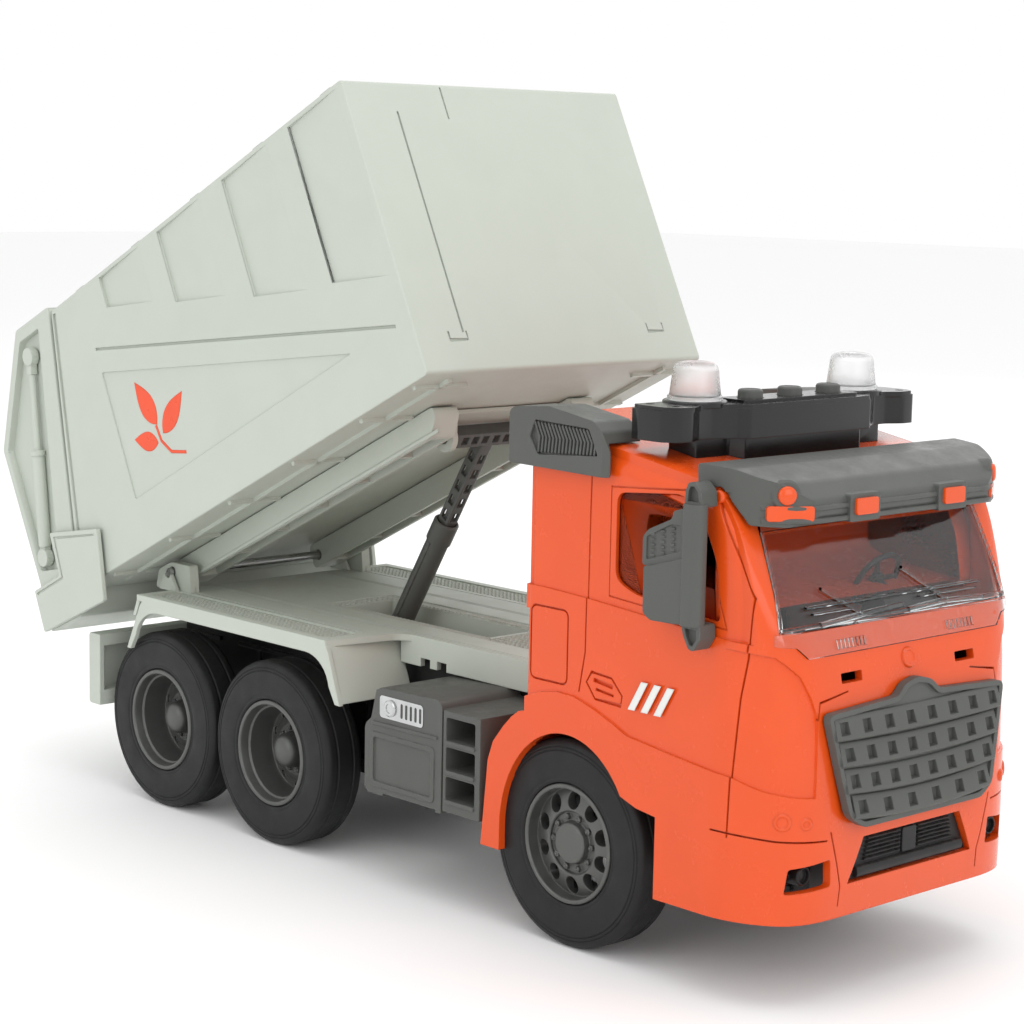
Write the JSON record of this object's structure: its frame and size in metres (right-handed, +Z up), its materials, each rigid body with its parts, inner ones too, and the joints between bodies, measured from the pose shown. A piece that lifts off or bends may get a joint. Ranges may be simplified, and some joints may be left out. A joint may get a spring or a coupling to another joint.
{
  "type": "toy refuse truck",
  "caption": "Three-axle toy refuse truck with a raised tipping body, hinged tailgate, telescopic prop, turning wheels, roof light bar and push buttons.",
  "frame": {"origin": "middle of the truck's length and width, on the ground", "axes": "+X forward along the truck, +Y to its left, +Z up"},
  "size_m": [0.3835, 0.1272, 0.251],
  "materials": {
    "orange_plastic": "glossy moulded orange",
    "pale_grey_plastic": "satin moulded pale grey",
    "dark_grey_plastic": "satin moulded dark grey",
    "black_plastic": "glossy moulded black",
    "tyre_rubber": "soft charcoal vinyl with a fine tread",
    "silver_plastic": "silver-grey moulded rim",
    "steel": "drawn wire",
    "clear_plastic": "clear polystyrene",
    "zinc_alloy": "die-cast",
    "circuit_green": "solder-masked board"
  },
  "bodies": {
    "truck": {"cab_shell": "orange_plastic", "rear_deck": "pale_grey_plastic", "tail_bar": "pale_grey_plastic", "grille": "dark_grey_plastic", "sun_visor": "dark_grey_plastic", "air_deflector_left": "dark_grey_plastic", "air_deflector_right": "dark_grey_plastic", "mirror_left": "dark_grey_plastic", "mirror_right": "dark_grey_plastic", "side_locker_left": "dark_grey_plastic", "side_locker_right": "dark_grey_plastic", "chassis_base": "black_plastic", "battery_cover": "black_plastic", "battery_holder": "black_plastic", "cab_interior": "black_plastic", "steering_wheel": "black_plastic", "lower_grille": "black_plastic", "light_bar": "black_plastic", "speaker": "black_plastic", "motor_case": "black_plastic", "fog_lamp_left": "black_plastic", "fog_lamp_right": "black_plastic", "windshield": "clear_plastic", "beacon_left": "clear_plastic", "beacon_right": "clear_plastic", "circuit_board": "circuit_green"},
    "front_wheels": {"front_axle": "steel", "front_rim_left": "silver_plastic", "front_rim_right": "silver_plastic", "front_tyre_left": "tyre_rubber", "front_tyre_right": "tyre_rubber"},
    "middle_wheels": {"middle_axle": "steel", "middle_rim_left": "silver_plastic", "middle_rim_right": "silver_plastic", "middle_tyre_left": "tyre_rubber", "middle_tyre_right": "tyre_rubber", "drive_gear": "black_plastic"},
    "rear_wheels": {"rear_axle": "steel", "rear_rim_left": "silver_plastic", "rear_rim_right": "silver_plastic", "rear_tyre_left": "tyre_rubber", "rear_tyre_right": "tyre_rubber"},
    "flywheel": {"flywheel": "zinc_alloy"},
    "tipping_body": {"body_shell": "pale_grey_plastic", "body_rail_left": "pale_grey_plastic", "body_rail_right": "pale_grey_plastic", "strut_bracket": "pale_grey_plastic", "tipping_pin": "steel", "tailgate_pin": "steel"},
    "tailgate": {"tailgate": "pale_grey_plastic", "tailgate_ram_left": "pale_grey_plastic", "tailgate_ram_right": "pale_grey_plastic", "tailgate_clamp_left": "pale_grey_plastic", "tailgate_clamp_right": "pale_grey_plastic"},
    "strut_rod": {"strut_rod": "dark_grey_plastic"},
    "strut_sleeve": {"strut_sleeve": "dark_grey_plastic"},
    "button_1": {"button_1": "dark_grey_plastic"},
    "button_2": {"button_2": "dark_grey_plastic"},
    "button_3": {"button_3": "dark_grey_plastic"}
  },
  "joints": [
    {"name": "body_tip", "type": "hinge", "parent": "truck", "child": "tipping_body", "pos_m": [-0.1112, 0, 0.0806], "axis": [0, -1, 0], "range_deg": [-26, 0]},
    {"name": "tailgate_hinge", "type": "hinge", "parent": "tipping_body", "child": "tailgate", "pos_m": [-0.16065, 0, 0.17219], "axis": [0, 1, 0], "range_deg": [0, 75]},
    {"name": "strut_head", "type": "hinge", "parent": "tipping_body", "child": "strut_rod", "pos_m": [0.00842, 0, 0.13828], "axis": [0, -1, 0], "range_deg": [-17.34, 0]},
    {"name": "strut_slide", "type": "slide", "parent": "strut_rod", "child": "strut_sleeve", "axis": [0.5195, 0, 0.8545], "range_m": [0, 0.02657]},
    {"name": "front_axle_spin", "type": "hinge", "parent": "truck", "child": "front_wheels", "pos_m": [0.1058, 0, 0.031], "axis": [0, 1, 0], "continuous": true},
    {"name": "middle_axle_spin", "type": "hinge", "parent": "truck", "child": "middle_wheels", "pos_m": [-0.0359, 0, 0.031], "axis": [0, 1, 0], "continuous": true},
    {"name": "rear_axle_spin", "type": "hinge", "parent": "truck", "child": "rear_wheels", "pos_m": [-0.0988, 0, 0.031], "axis": [0, 1, 0], "continuous": true},
    {"name": "flywheel_spin", "type": "hinge", "parent": "truck", "child": "flywheel", "pos_m": [-0.0268, 0, 0.031], "axis": [0, 1, 0], "continuous": true},
    {"name": "button_1_press", "type": "slide", "parent": "truck", "child": "button_1", "axis": [0, 0, -1], "range_m": [0, 0.0012], "stiffness_N_per_m": 300, "springref_m": -0.001},
    {"name": "button_2_press", "type": "slide", "parent": "truck", "child": "button_2", "axis": [0, 0, -1], "range_m": [0, 0.0012], "stiffness_N_per_m": 300, "springref_m": -0.001},
    {"name": "button_3_press", "type": "slide", "parent": "truck", "child": "button_3", "axis": [0, 0, -1], "range_m": [0, 0.0012], "stiffness_N_per_m": 300, "springref_m": -0.001}
  ],
  "couplings": [
    {"joint": "strut_head", "follows": "body_tip", "ratio": 0.66487},
    {"joint": "strut_slide", "follows": "body_tip", "m_per_rad": -0.058325},
    {"joint": "flywheel_spin", "follows": "middle_axle_spin", "ratio": -2}
  ]
}
